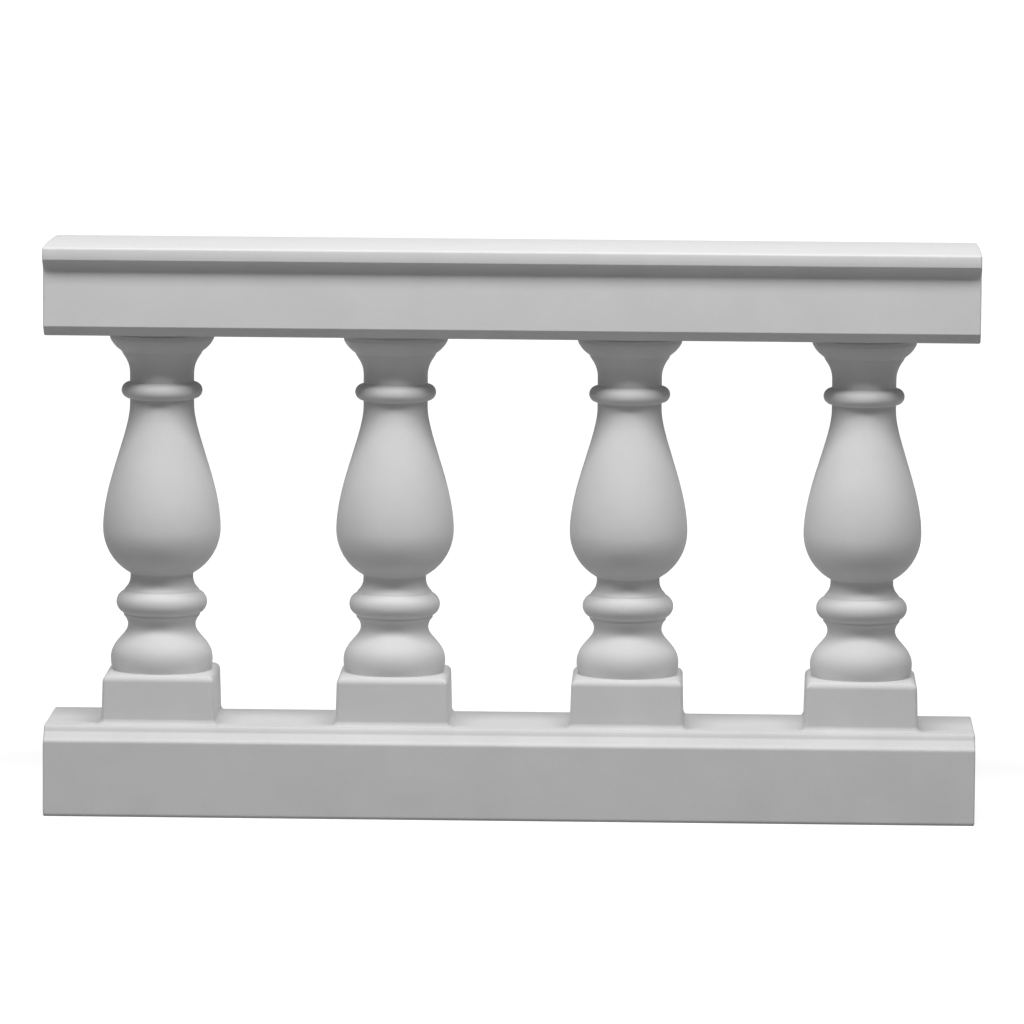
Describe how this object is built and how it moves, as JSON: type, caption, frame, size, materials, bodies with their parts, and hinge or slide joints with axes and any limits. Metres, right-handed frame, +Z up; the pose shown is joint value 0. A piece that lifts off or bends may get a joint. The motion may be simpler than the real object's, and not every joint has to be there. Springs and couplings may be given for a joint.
{
  "type": "stone balustrade bay",
  "caption": "Straight bay of a cast stone balustrade: turned vase balusters on square plinths, bedded between a stepped bottom rail and a moulded top rail.",
  "frame": {"origin": "middle of the bottom rail's flat underside, at floor level", "axes": "+X along the rails to the right as seen from the front, -Y towards the front, +Z up"},
  "size_m": [1.488, 0.256, 0.915],
  "materials": {
    "cast_stone": "smooth matt cast stone, pale grey, fine sanded face",
    "mortar": "fine pointing mortar, pale grey, matt"
  },
  "bodies": {
    "root": {"bottom_rail": "cast_stone", "top_rail": "cast_stone", "baluster_1": "cast_stone", "baluster_2": "cast_stone", "baluster_3": "cast_stone", "baluster_4": "cast_stone", "lower_bed_1": "mortar", "lower_bed_2": "mortar", "lower_bed_3": "mortar", "lower_bed_4": "mortar", "upper_bed_1": "mortar", "upper_bed_2": "mortar", "upper_bed_3": "mortar", "upper_bed_4": "mortar"}
  },
  "joints": []
}
